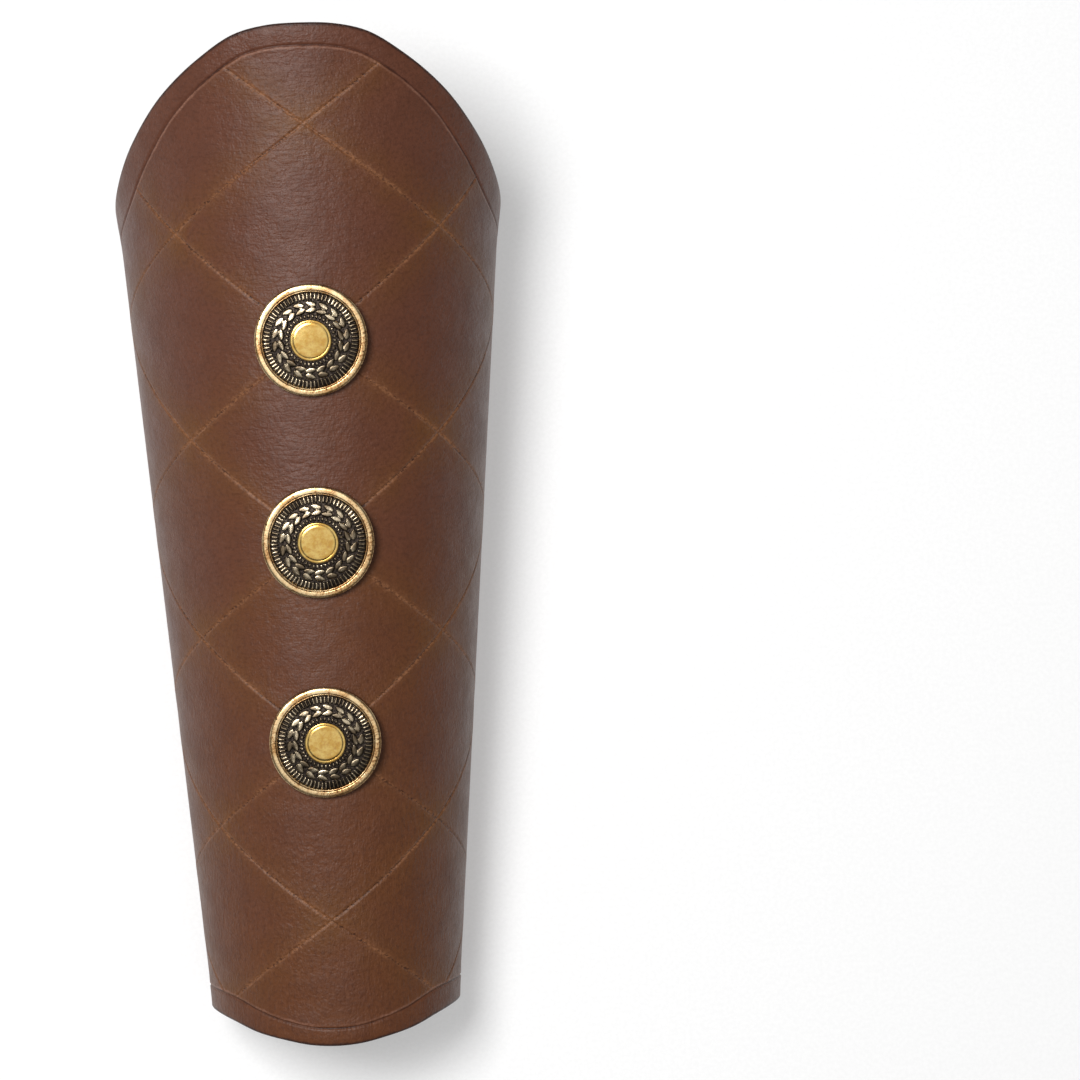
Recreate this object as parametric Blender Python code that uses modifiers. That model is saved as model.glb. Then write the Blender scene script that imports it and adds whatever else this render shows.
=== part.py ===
"""Leather bracer for a forearm, with three riveted brass conchos, lying on its laced side.

The leather is laid out flat, cut, scored and punched, and then rolled into an oblique cone whose
back is pressed flat where it rests. Metres, +Z up. The arm runs along Y with the elbow at +Y, the
front with the conchos faces up, and the origin is on the floor under the middle of the bracer.
"""

import math

import bmesh
import bpy
import numpy as np
from mathutils import Matrix, Vector

# Leather cuff
LENGTH = 0.2724  # wrist tip to elbow tip, along the floor
ELBOW_RADIUS = 0.0562  # outside, at the elbow tip
WRIST_RADIUS = 0.0335  # outside, at the wrist tip
LEATHER = 0.0028
FRONT_ARC = math.radians(120)  # the section is one round arc this far to each side of the front
BACK_CORNER_RADIUS = 0.0225  # at half length, where the leather turns in under the arm
LACING_GAP = 0.018  # at half length, between the two back edges
RIM_FLARE = 0.0008  # how far the rims stand out beyond the border groove

# Tooling
BORDER_WIDTH = 0.0062  # from the cut edge to the border groove, at the elbow tip
LACING_MARGIN = 0.012  # at half length, from the back edge to the groove beside it
GROOVE_WIDTH = 0.0014
GROOVE_DEPTH = 0.0005
DIAMOND_PITCH = 0.054  # along the front, from one crossing to the next, where the conchos sit
ELBOW_PITCH = 0.0572  # between the crossings beyond the last concho, towards the elbow
WRIST_PITCH = 0.0491  # and towards the wrist
DIAMOND_SLOPE = math.radians(36.3)  # of the diagonals, from straight across

# Lacing holes
LACE_HOLE_RADIUS = 0.002
LACE_HOLES = 6  # down each back edge
LACE_HOLE_INSET = 0.0062  # at half length, from the back edge
LACE_END_MARGIN = 0.014  # from the first and last hole to the rims

# Conchos
CONCHO_RADIUS = 0.015
CONCHO_HEIGHT = 0.0026  # from the leather to the top of the bezel
BEZEL_WIDTH = 0.0022
BEZEL_FLOOR = 0.0010  # top of the bezel's floor, above the leather
MEDALLION_THICKNESS = 0.0006
RELIEF_HEIGHT = 0.0005
LAUREL_LEAVES = 18  # in each of two rings
RIVET_CAP_RADIUS = 0.0055
RIVET_CAP_HEIGHT = 0.0013
RIVET_SHANK_RADIUS = 0.0020
RIVET_BACK_RADIUS = 0.0045
RIVET_BACK_HEIGHT = 0.0012

SEAT_GAP = 0.0003  # between pieces that sit on each other
CUFF_COLUMNS = 20  # facets from the front to each groove beside the lacing
HOLE_SIDES = 12
BEZEL_STEPS = 36
RIVET_STEPS = 20
FOREARM_SIDES = 144

# The cut edges, from the front round to the back. Columns: share of the way round, height as a
# share of half the length, and the border's width as a share of BORDER_WIDTH.
ELBOW_EDGE = (
    (0.00, 1.000, 0.95),
    (0.06, 0.997, 0.95),
    (0.11, 0.985, 0.95),
    (0.18, 0.944, 0.95),
    (0.26, 0.887, 1.02),
    (0.36, 0.803, 1.25),
    (0.45, 0.734, 1.45),
    (0.53, 0.690, 1.35),
    (0.65, 0.632, 1.20),
    (0.82, 0.550, 1.05),
    (1.00, 0.485, 1.00),
)
WRIST_EDGE = (
    (0.00, -1.000, 0.80),
    (0.07, -0.997, 0.80),
    (0.15, -0.986, 0.85),
    (0.23, -0.973, 0.98),
    (0.33, -0.951, 1.12),
    (0.52, -0.927, 1.04),
    (0.75, -0.915, 1.00),
    (1.00, -0.905, 1.00),
)
# The crossings of the diagonals are numbered from the middle one, and three of them hold conchos.
CONCHO_CROSSINGS = {"elbow": 1, "middle": 0, "wrist": -1}

TAPER = (ELBOW_RADIUS - WRIST_RADIUS) / LENGTH
MIDDLE_RADIUS = (ELBOW_RADIUS + WRIST_RADIUS) / 2
APEX_Y = -MIDDLE_RADIUS / TAPER  # every straight line along the cone meets the floor here
CORNER = BACK_CORNER_RADIUS / MIDDLE_RADIUS
CENTRE = CORNER - (1 - CORNER) * math.cos(FRONT_ARC)
FLAT_START = FRONT_ARC + CORNER * (math.pi - FRONT_ARC)
FLAT_WIDTH = (1 - CORNER) * math.sin(FRONT_ARC) - LACING_GAP / 2 / MIDDLE_RADIUS
HALF_GIRTH = FLAT_START + FLAT_WIDTH
FRONT_TILT = math.atan(TAPER * (1 + CENTRE))


def section(girth):
    """The section of unit front radius: x, z and the normal's x, z, this far round from the front."""
    side, way = math.copysign(1, girth), abs(girth)
    if way <= FRONT_ARC:
        nx, nz = math.sin(way), math.cos(way)
        x, z = nx, CENTRE + nz
    elif way <= FLAT_START:
        angle = FRONT_ARC + (way - FRONT_ARC) / CORNER
        nx, nz = math.sin(angle), math.cos(angle)
        x = (1 - CORNER) * math.sin(FRONT_ARC) + CORNER * nx
        z = CENTRE + (1 - CORNER) * math.cos(FRONT_ARC) + CORNER * nz
    else:
        nx, nz = 0.0, -1.0
        x, z = (1 - CORNER) * math.sin(FRONT_ARC) - (way - FLAT_START), 0.0
    return side * x, z, side * nx, nz


def generator(girth):
    """Direction of the cone's straight line at this girth, as long as one metre along Y."""
    x, z, _, _ = section(girth)
    return Vector((TAPER * x, 1, TAPER * z))


def develop(steps=720):
    """Girths and the angles, seen from the apex, at which their lines lie once the cone is flat."""
    girths = np.linspace(0, HALF_GIRTH, steps + 1)
    across, up = np.array([section(girth)[:2] for girth in girths]).T
    lines = np.column_stack([TAPER * across, np.ones(steps + 1), TAPER * up])
    lines /= np.linalg.norm(lines, axis=1, keepdims=True)
    turns = np.linalg.norm(np.diff(lines, axis=0), axis=1)
    return girths, np.concatenate([[0], np.cumsum(turns)])


GIRTHS, ANGLES = develop()


def flat_point(girth, height):
    """Where the surface point at this girth and Y lies in the flat pattern, from the apex."""
    angle = math.copysign(float(np.interp(abs(girth), GIRTHS, ANGLES)), girth)
    reach = (height - APEX_Y) * generator(girth).length
    return Vector((reach * math.sin(angle), reach * math.cos(angle)))


def wrap(point, lift=0.0):
    """Rolls a point of the flat pattern onto the cone, this far outside the leather's outer face."""
    angle = math.atan2(point.x, point.y)
    girth = math.copysign(float(np.interp(abs(angle), ANGLES, GIRTHS)), angle)
    x, z, nx, nz = section(girth)
    normal = Vector((nx, -TAPER * (x * nx + z * nz), nz)).normalized()
    reach = math.hypot(point.x, point.y)
    return Vector((0, APEX_Y, 0)) + generator(girth).normalized() * reach + normal * lift


def smooth(rows, column, at):
    """A column of an edge table, read smoothly between its rows. It is level at the front."""
    places = np.array([row[0] for row in rows])
    values = np.array([row[column] for row in rows])
    slopes = np.gradient(values, places)
    slopes[0] = 0
    i = int(np.clip(np.searchsorted(places, at) - 1, 0, len(rows) - 2))
    gap = places[i + 1] - places[i]
    t = (at - places[i]) / gap
    return float(
        values[i] * (1 + 2 * t) * (1 - t) ** 2
        + slopes[i] * gap * t * (1 - t) ** 2
        + values[i + 1] * t * t * (3 - 2 * t)
        + slopes[i + 1] * gap * t * t * (t - 1)
    )


def edge_point(rows, girth):
    return flat_point(girth, smooth(rows, 1, abs(girth) / HALF_GIRTH) * LENGTH / 2)


def border_way(rows, girth):
    """Distance along the leather from the cut edge to the border groove, on this line."""
    step = 0.01
    low, high = max(girth - step, -HALF_GIRTH), min(girth + step, HALF_GIRTH)
    along_edge = (edge_point(rows, high) - edge_point(rows, low)).normalized()
    line = edge_point(rows, girth).normalized()
    width = BORDER_WIDTH * smooth(rows, 2, abs(girth) / HALF_GIRTH)
    return width / abs(along_edge.cross(line))


def material(name, colour, roughness, metallic):
    made = bpy.data.materials.new(name)
    made.use_nodes = True
    shader = made.node_tree.nodes["Principled BSDF"]
    shader.inputs["Base Color"].default_value = (*colour, 1)
    shader.inputs["Roughness"].default_value = roughness
    shader.inputs["Metallic"].default_value = metallic
    made.diffuse_color = (*colour, 1)
    return made


def add_object(name, mesh, collection, finish=None):
    made = bpy.data.objects.new(name, mesh)
    collection.objects.link(made)
    if finish:
        mesh.materials.append(finish)
    return made


def mesh_of(bm, name):
    mesh = bpy.data.meshes.new(name)
    bm.to_mesh(mesh)
    bm.free()
    return mesh


def evaluated_mesh(obj):
    graph = bpy.context.evaluated_depsgraph_get()
    return bpy.data.meshes.new_from_object(obj.evaluated_get(graph))


def hide_cutter(cutter):
    cutter.hide_render = True
    cutter.display_type = "WIRE"


def cut(obj, cutter):
    modifier = obj.modifiers.new(cutter.name, "BOOLEAN")
    modifier.operation = "DIFFERENCE"
    modifier.object = cutter


def column_girths():
    """Girths of the cuff's columns, with one on the groove beside the lacing."""
    margin = LACING_MARGIN / MIDDLE_RADIUS
    half_groove = GROOVE_WIDTH / 2 / MIDDLE_RADIUS
    field = np.linspace(0, HALF_GIRTH - margin - half_groove, CUFF_COLUMNS + 1)
    edge = [HALF_GIRTH - margin, HALF_GIRTH - margin + half_groove, HALF_GIRTH]
    half = [*field, *edge]
    return [-girth for girth in half[:0:-1]] + half


def column_rows(girth):
    """Flat points up one column, each with its share of the groove's depth and of the flare."""
    wrist, elbow = edge_point(WRIST_EDGE, girth), edge_point(ELBOW_EDGE, girth)
    line = elbow.normalized()
    low, high = border_way(WRIST_EDGE, girth), border_way(ELBOW_EDGE, girth)
    half_groove = GROOVE_WIDTH / 2
    below = (0, low - half_groove, low, low + half_groove)
    above = (high + half_groove, high, high - half_groove, 0)
    depths, flares = (0, 0, 1, 0), (1, 0, 0, 0)
    rows = [(wrist + line * way, depth, flare) for way, depth, flare in zip(below, depths, flares)]
    rows += [
        (elbow - line * way, depth, flare)
        for way, depth, flare in zip(above, reversed(depths), reversed(flares))
    ]
    return rows


def flare_fade(girth):
    """The rims flare at the front and sides, and lie flat underneath."""
    return float(np.clip((FLAT_START - abs(girth)) / (FLAT_START - FRONT_ARC / 2), 0, 1))


def flat_sheet():
    """The flat leather as a closed body: scored face at z 0, flesh side one thickness below."""
    bm = bmesh.new()
    depth = bm.verts.layers.float.new("depth")
    flare = bm.verts.layers.float.new("flare")
    girths = column_girths()
    rows = len(column_rows(0))
    bmesh.ops.create_grid(bm, x_segments=rows - 1, y_segments=len(girths) - 1, size=1)
    bm.verts.ensure_lookup_table()
    lacing_groove = (2, len(girths) - 3)
    for column, girth in enumerate(girths):
        for row, (point, share, stands) in enumerate(column_rows(girth)):
            vert = bm.verts[column * rows + row]
            vert.co = (point.x, point.y, 0)
            in_field = 1 < row < rows - 2
            vert[depth] = max(share, float(column in lacing_groove and in_field))
            vert[flare] = stands * flare_fade(girth)
    for face in bm.faces:
        if face.normal.z < 0:
            face.normal_flip()
    back = bmesh.ops.duplicate(bm, geom=bm.faces[:])
    back_faces = [item for item in back["geom"] if isinstance(item, bmesh.types.BMFace)]
    for vert in {vert for face in back_faces for vert in face.verts}:
        vert.co.z = -LEATHER
        vert[depth] = 0
    bmesh.ops.reverse_faces(bm, faces=back_faces)
    rim = [edge for edge in bm.edges if edge.is_boundary]
    bmesh.ops.bridge_loops(bm, edges=rim)
    return bm


def field_faces(bm):
    return [face for face in bm.faces if face.material_index == 1]


def mark_field(bm):
    """Marks the faces of the scored side that lie inside the border grooves."""
    for face in bm.faces:
        scored_side = all(vert.co.z > -LEATHER / 2 for vert in face.verts)
        face.material_index = int(scored_side and inside_borders(face.calc_center_median()))


def inside_borders(point):
    """Whether a flat point lies inside the border grooves and those beside the lacing."""
    girth = float(np.interp(math.atan2(abs(point.x), point.y), ANGLES, GIRTHS))
    if girth > HALF_GIRTH - (LACING_MARGIN + GROOVE_WIDTH / 4) / MIDDLE_RADIUS:
        return False
    reach = math.hypot(point.x, point.y)
    low = edge_point(WRIST_EDGE, girth).length + border_way(WRIST_EDGE, girth)
    high = edge_point(ELBOW_EDGE, girth).length - border_way(ELBOW_EDGE, girth)
    return low + GROOVE_WIDTH / 4 < reach < high - GROOVE_WIDTH / 4


def crossing_point(number):
    """Flat point where two diagonals cross on the front, counted from the middle crossing."""
    past_conchos = max(abs(number) - max(CONCHO_CROSSINGS.values()), 0)
    beside_conchos = abs(number) - past_conchos
    end_pitch = ELBOW_PITCH if number > 0 else WRIST_PITCH
    way = beside_conchos * DIAMOND_PITCH + past_conchos * end_pitch
    return flat_point(0, 0) + Vector((0, math.copysign(way, number)))


def diagonals():
    """A point on each diagonal groove, and its unit direction across the groove, in the flat."""
    most = math.ceil(LENGTH / DIAMOND_PITCH)
    for number in range(-most, most + 1):
        at = crossing_point(number)
        for side in (-1, 1):
            across = Vector((side * math.sin(DIAMOND_SLOPE), math.cos(DIAMOND_SLOPE)))
            yield at, across


def score_diagonals(bm):
    """Cuts each diagonal into the field as three lines: two shoulders and a middle to push in."""
    for at, across in diagonals():
        for offset in (-GROOVE_WIDTH / 2, 0, GROOVE_WIDTH / 2):
            faces = field_faces(bm)
            edges = list({edge for face in faces for edge in face.edges})
            verts = list({vert for face in faces for vert in face.verts})
            middle = at + across * offset
            bmesh.ops.bisect_plane(
                bm,
                geom=verts + edges + faces,
                dist=GROOVE_WIDTH / 100,
                plane_co=(middle.x, middle.y, 0),
                plane_no=(across.x, across.y, 0),
            )


def diagonal_depth(point):
    """Share of the groove's depth at a flat point of the field."""
    nearest = min(abs((point - at).dot(across)) for at, across in diagonals())
    return max(0.0, 1 - nearest / (GROOVE_WIDTH / 2))


def lace_hole_points():
    """Flat points of the lacing holes, evenly spaced down both back edges."""
    girth = HALF_GIRTH - LACE_HOLE_INSET / MIDDLE_RADIUS
    low, high = edge_point(WRIST_EDGE, girth).length, edge_point(ELBOW_EDGE, girth).length
    for side in (-1, 1):
        line = flat_point(side * girth, 0).normalized()
        reaches = np.linspace(low + LACE_END_MARGIN, high - LACE_END_MARGIN, LACE_HOLES)
        for reach in reaches:
            yield line * float(reach)


def make_punches(cutters):
    """Upright round cutters for the lacing and rivet holes, all in one mesh."""
    holes = [(point, LACE_HOLE_RADIUS) for point in lace_hole_points()]
    for number in CONCHO_CROSSINGS.values():
        holes.append((crossing_point(number), RIVET_SHANK_RADIUS + SEAT_GAP))
    bm = bmesh.new()
    for point, radius in holes:
        bmesh.ops.create_cone(
            bm, cap_ends=True, segments=HOLE_SIDES, radius1=radius, radius2=radius,
            depth=3 * LEATHER, matrix=Matrix.Translation((*point, -LEATHER / 2)),
        )
    punches = add_object("punches", mesh_of(bm, "punches"), cutters)
    hide_cutter(punches)
    return punches


def make_cuff(parts, cutters, finish):
    bm = flat_sheet()
    mark_field(bm)
    score_diagonals(bm)
    depth = bm.verts.layers.float["depth"]
    scored = {vert for face in field_faces(bm) for vert in face.verts}
    for vert in scored:
        vert[depth] = max(vert[depth], diagonal_depth(vert.co.xy))
    for vert in bm.verts:
        vert.co.z -= vert[depth] * GROOVE_DEPTH
    for face in bm.faces:
        face.material_index = 0
    flat = add_object("flat_cuff", mesh_of(bm, "flat_cuff"), cutters)
    hide_cutter(flat)
    cut(flat, make_punches(cutters))

    bm = bmesh.new()
    bm.from_mesh(evaluated_mesh(flat))
    bmesh.ops.triangulate(bm, faces=bm.faces[:])
    flare = bm.verts.layers.float["flare"]
    for vert in bm.verts:
        vert.co = wrap(vert.co.xy, vert.co.z + vert[flare] * RIM_FLARE)
    bmesh.ops.recalc_face_normals(bm, faces=bm.faces[:])
    cuff = add_object("leather_cuff", mesh_of(bm, "leather_cuff"), parts, finish)
    cuff.data.shade_smooth()
    cuff.data.set_sharp_from_angle(angle=math.radians(25))


def turned(name, profile, steps, closed, collection, finish):
    """A body turned about its own Z from a profile of (radius, height), run down its outside."""
    mesh = bpy.data.meshes.new(name)
    count = len(profile)
    edges = [(i, (i + 1) % count) for i in range(count if closed else count - 1)]
    mesh.from_pydata([(radius, 0, height) for radius, height in profile], edges, [])
    made = add_object(name, mesh, collection, finish)
    screw = made.modifiers.new("turn", "SCREW")
    screw.steps = steps
    screw.render_steps = steps
    screw.use_merge_vertices = True
    screw.merge_threshold = 0.00001
    screw.use_smooth_shade = True
    return made


def forearm_body(cutters):
    """The solid inside the leather's outer face, one seat gap larger: it shapes what sits on it."""
    low, high = -LENGTH, LENGTH
    bm = bmesh.new()
    radii = [TAPER * (y - APEX_Y) for y in (low, high)]
    bmesh.ops.create_cone(
        bm, cap_ends=True, segments=FOREARM_SIDES, radius1=radii[0], radius2=radii[1],
        depth=high - low,
    )
    bmesh.ops.rotate(bm, verts=bm.verts[:], matrix=Matrix.Rotation(-math.pi / 2, 3, "X"))
    for vert in bm.verts:
        y = vert.co.y + (low + high) / 2
        radius = TAPER * (y - APEX_Y)
        outward = Vector((vert.co.x, vert.co.z)).normalized() * SEAT_GAP
        vert.co = (
            vert.co.x + outward.x,
            y,
            vert.co.z + outward.y + CENTRE * radius,
        )
    body = add_object("forearm_body", mesh_of(bm, "forearm_body"), cutters)
    hide_cutter(body)
    return body


def bezel_profile():
    """A shallow dish with a rounded rim. Its underside is left long, for the leather to shape."""
    inner, outer = CONCHO_RADIUS - BEZEL_WIDTH, CONCHO_RADIUS
    skirt = CONCHO_RADIUS**2 / (2 * WRIST_RADIUS)
    rim_base = CONCHO_HEIGHT - BEZEL_WIDTH / 2
    hole = RIVET_SHANK_RADIUS + SEAT_GAP
    rim = []
    for angle in np.linspace(math.pi, 0, 5):
        across = (inner + outer) / 2 + BEZEL_WIDTH / 2 * math.cos(angle)
        rim.append((across, rim_base + BEZEL_WIDTH / 2 * math.sin(angle)))
    return [(hole, BEZEL_FLOOR), (inner, BEZEL_FLOOR), *rim, (outer, -skirt), (hole, -skirt)]


def relief(radius, turn, rings):
    """Height share of the medallion's relief: two rings of leaves, and ribs round them."""
    leaf = (math.cos(turn * LAUREL_LEAVES) + 1) / 2
    if radius in (rings["inner leaves"], rings["outer leaves"]):
        return leaf
    if radius in (rings["rib foot"], rings["rib head"]):
        return (math.cos(turn * LAUREL_LEAVES * 2) + 1) / 2 * 0.8
    return 0.0


def medallion_rings():
    """Radii of the medallion's rings, from the rivet's cap out to the bezel."""
    start = RIVET_CAP_RADIUS + SEAT_GAP
    edge = CONCHO_RADIUS - BEZEL_WIDTH - SEAT_GAP
    shares = {
        "cap": 0.02,
        "inner leaves": 0.27,
        "stem": 0.42,
        "outer leaves": 0.57,
        "rib foot": 0.75,
        "rib head": 0.96,
    }
    return {name: start + (edge - start) * share for name, share in shares.items()}


def medallion_mesh(collection):
    """The cast medallion: a flat ring whose face is raised into leaves and ribs."""
    rings = medallion_rings()
    low = BEZEL_FLOOR + SEAT_GAP
    face = low + MEDALLION_THICKNESS
    hole = RIVET_SHANK_RADIUS + SEAT_GAP
    edge = CONCHO_RADIUS - BEZEL_WIDTH - SEAT_GAP
    profile = [(hole, face), *((radius, face) for radius in rings.values())]
    profile += [(edge, face), (edge, low), (hole, low)]
    steps = LAUREL_LEAVES * 4
    blank = turned("medallion_blank", profile, steps, True, collection, None)
    mesh = evaluated_mesh(blank)
    bpy.data.objects.remove(blank)
    for vert in mesh.vertices:
        radius = math.hypot(vert.co.x, vert.co.y)
        nearest = min(rings.values(), key=lambda ring: abs(ring - radius))
        if vert.co.z > face - SEAT_GAP and abs(nearest - radius) < SEAT_GAP / 3:
            turn = math.atan2(vert.co.y, vert.co.x)
            vert.co.z += RELIEF_HEIGHT * relief(nearest, turn, rings)
    return mesh


def rivet_profile():
    """One plain rivet: a flat cap with a bevelled edge, a shank, and a cap set on the flesh side."""
    under_cap = BEZEL_FLOOR + MEDALLION_THICKNESS + 2 * SEAT_GAP
    top = under_cap + RIVET_CAP_HEIGHT
    bevel = RIVET_CAP_HEIGHT / 3
    sag = RIVET_BACK_RADIUS**2 / (2 * WRIST_RADIUS)
    back = -LEATHER - SEAT_GAP - sag
    foot = back - RIVET_BACK_HEIGHT
    return [
        (0, top),
        (RIVET_CAP_RADIUS - bevel, top),
        (RIVET_CAP_RADIUS, top - bevel),
        (RIVET_CAP_RADIUS, under_cap),
        (RIVET_SHANK_RADIUS, under_cap),
        (RIVET_SHANK_RADIUS, back),
        (RIVET_BACK_RADIUS, back),
        (RIVET_BACK_RADIUS, foot + RIVET_BACK_HEIGHT / 2),
        (RIVET_BACK_RADIUS - RIVET_BACK_HEIGHT / 2, foot),
        (0, foot),
    ]


def make_conchos(parts, cutters, brass, dark):
    forearm = forearm_body(cutters)
    medallion = medallion_mesh(cutters)
    for name, number in CONCHO_CROSSINGS.items():
        placed = Matrix.Translation(wrap(crossing_point(number)))
        placed = placed @ Matrix.Rotation(FRONT_TILT, 4, "X")
        bezel = turned(f"bezel_{name}", bezel_profile(), BEZEL_STEPS, True, parts, brass)
        bezel.matrix_world = placed
        cut(bezel, forearm)
        insert = add_object(f"medallion_{name}", medallion, parts)
        insert.matrix_world = placed
        rivet = turned(f"rivet_{name}", rivet_profile(), RIVET_STEPS, False, parts, brass)
        rivet.matrix_world = placed
    medallion.materials.append(dark)


def main():
    for old in list(bpy.data.objects):
        bpy.data.objects.remove(old)
    scene = bpy.context.scene
    parts = bpy.data.collections.new("leather_bracer")
    cutters = bpy.data.collections.new("cutters")
    scene.collection.children.link(parts)
    scene.collection.children.link(cutters)
    leather = material("oiled_brown_leather", (0.125, 0.055, 0.032), 0.55, 0.0)
    brass = material("antique_brass", (0.56, 0.38, 0.16), 0.38, 1.0)
    dark = material("blackened_relief", (0.10, 0.085, 0.07), 0.42, 1.0)
    make_cuff(parts, cutters, leather)
    make_conchos(parts, cutters, brass, dark)


main()
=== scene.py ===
"""Finish of the leather bracer: tooled leather, flesh side and cut edges, and three brass conchos.

Metres, in the part's own frame: the arm along Y with the elbow at +Y, the front up, the floor at 0.
The leather is drawn in its flat pattern, with every scored line, and rolled onto the same cone as
the solid that it replaces.
"""

import math

import bpy
import numpy as np
from mathutils import Matrix, Vector
from mathutils.geometry import delaunay_2d_cdt


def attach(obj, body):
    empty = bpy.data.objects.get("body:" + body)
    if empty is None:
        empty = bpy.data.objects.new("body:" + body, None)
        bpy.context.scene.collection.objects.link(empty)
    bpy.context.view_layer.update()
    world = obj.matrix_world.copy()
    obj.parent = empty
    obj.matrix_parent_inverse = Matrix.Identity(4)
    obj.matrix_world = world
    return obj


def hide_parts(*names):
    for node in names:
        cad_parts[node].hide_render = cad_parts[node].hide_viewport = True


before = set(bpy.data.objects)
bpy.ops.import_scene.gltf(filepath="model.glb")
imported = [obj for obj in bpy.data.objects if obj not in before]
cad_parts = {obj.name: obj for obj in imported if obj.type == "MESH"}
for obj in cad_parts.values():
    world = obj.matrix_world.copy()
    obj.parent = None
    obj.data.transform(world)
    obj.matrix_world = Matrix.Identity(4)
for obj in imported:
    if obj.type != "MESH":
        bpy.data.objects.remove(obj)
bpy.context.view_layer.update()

# Leather cuff
LENGTH = 0.2724
ELBOW_RADIUS = 0.0562
WRIST_RADIUS = 0.0335
LEATHER = 0.0028
FRONT_ARC = math.radians(120)
BACK_CORNER_RADIUS = 0.0225
LACING_GAP = 0.018
ELBOW_FLARE = 0.0008
WRIST_FLARE = 0.0003
EDGE_ROUNDING = 0.0006  # radius of the burnished edges

# Tooling
BORDER_WIDTH = 0.0062
LACING_MARGIN = 0.012
GROOVE_HALF_WIDTH = 0.0005
BORDER_DEPTH = 0.0003
SCORE_DEPTH = 0.0002  # of the diagonals, which are only scratched in
GROOVE_LIP = 0.00009  # height of the leather that the scoring pushed up beside a groove
DIAMOND_PITCH = 0.054
ELBOW_PITCH = 0.0572
WRIST_PITCH = 0.0491
DIAMOND_SLOPE = math.radians(36.3)
FAR = 0.03  # stands for any distance too great to matter

# Lacing holes
LACE_HOLE_RADIUS = 0.002
LACE_HOLES = 6
LACE_HOLE_INSET = 0.0062
LACE_END_MARGIN = 0.014

# Conchos, with lengths from the middle of each
CONCHO_RADIUS = 0.015
CONCHO_HEIGHT = 0.0026
BEZEL_INNER_RADIUS = 0.01285
BEZEL_LIP_RADIUS = 0.01312  # where the thin inner lip ends and the broad rim begins
BEZEL_CREST_RADIUS = 0.0135
BEZEL_SHOULDER = 0.0008  # how far the rounded rim falls from its crest to its outer wall
BEZEL_FLOOR = 0.0010
BEZEL_SEAT = 0.0001  # between the leather and the bezel's underside
MEDALLION_FACE = 0.0019  # height of the relief's ground above the leather
MEDALLION_THICKNESS = 0.0006  # of the plain solid, which sets the height of the rivet's cap
DISH_RADIUS = 0.0127  # of the bezel's wall, which the relief meets
RELIEF_HEIGHT = 0.0005
RIBS = 72
RIB_RADII = (0.01065, 0.01270)
LEAVES = 18  # in each of two rings
LEAF_LENGTH = 0.0029
LEAF_WIDTH = 0.00166
OUTER_LEAF_RADIUS = 0.00965
INNER_LEAF_RADIUS = 0.0080
LEAF_SPLAY = math.radians(16)  # of each leaf from the ring, away from the shared stem
BEADS = 38
BEAD_RADII = (0.0059, 0.0069)
MEDALLION_DOME = 0.0004  # how much higher the relief's ground is at its middle
RIVET_CAP_RADIUS = 0.0055
RIVET_FACE_RADIUS = 0.0048  # of the flat inside the cap's bevelled edge
RIVET_CAP_HEIGHT = 0.0013
RIVET_SHANK_RADIUS = 0.0020
RIVET_BACK_RADIUS = 0.0045
RIVET_BACK_HEIGHT = 0.0012
RIVET_CAP_ROUNDING = 0.00018
RIVET_BACK_ROUNDING = 0.0006
RIVET_DOME = 0.00008  # how much higher the cap is at its middle
RELIEF_START_RADIUS = RIVET_CAP_RADIUS * 0.9  # just under the rim of the rivet's cap
CREVICE = 0.00006  # half width of the dark line in a scored circle
NEAR_AXIS = 0.00001  # radius of the pinhole where a turned form closes
SEAT_GAP = 0.0003
CONCHO_TURNS = {"elbow": 8, "middle": 11, "wrist": 4}  # degrees that each was turned when riveted

# Camera, at the photograph's angle: straight down from over the front
CAMERA_PLACE = (0.0156, -0.0326, 1.2)
CAMERA_TURN = (1.66, -2.17, -2.04)  # degrees
CAMERA_LENS = 139.93  # mm on a 36 mm sensor

# The cut edges, from the front round to the back. Columns: share of the way round, height as a
# share of half the length, and the border's width as a share of BORDER_WIDTH. The wrist's edge is
# straighter at its corners than the solid's, by up to 1 mm.
ELBOW_EDGE = (
    (0.00, 1.000, 0.95),
    (0.06, 0.997, 0.95),
    (0.11, 0.985, 0.95),
    (0.18, 0.944, 0.95),
    (0.26, 0.887, 1.02),
    (0.36, 0.803, 1.25),
    (0.45, 0.734, 1.45),
    (0.53, 0.690, 1.35),
    (0.65, 0.632, 1.20),
    (0.82, 0.550, 1.05),
    (1.00, 0.485, 1.00),
)
WRIST_EDGE = (
    (0.00, -1.000, 0.80),
    (0.07, -0.997, 0.80),
    (0.15, -0.986, 0.85),
    (0.23, -0.973, 0.98),
    (0.33, -0.951, 1.12),
    (0.45, -0.935, 1.06),
    (0.55, -0.930, 1.03),
    (0.63, -0.9295, 1.02),
    (0.77, -0.921, 1.00),
    (1.00, -0.905, 1.00),
)
CONCHO_CROSSINGS = {"elbow": 1, "middle": 0, "wrist": -1}

TAPER = (ELBOW_RADIUS - WRIST_RADIUS) / LENGTH
MIDDLE_RADIUS = (ELBOW_RADIUS + WRIST_RADIUS) / 2
APEX_Y = -MIDDLE_RADIUS / TAPER
CORNER = BACK_CORNER_RADIUS / MIDDLE_RADIUS
CENTRE = CORNER - (1 - CORNER) * math.cos(FRONT_ARC)
FLAT_START = FRONT_ARC + CORNER * (math.pi - FRONT_ARC)
FLAT_WIDTH = (1 - CORNER) * math.sin(FRONT_ARC) - LACING_GAP / 2 / MIDDLE_RADIUS
HALF_GIRTH = FLAT_START + FLAT_WIDTH
FRONT_TILT = math.atan(TAPER * (1 + CENTRE))

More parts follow.
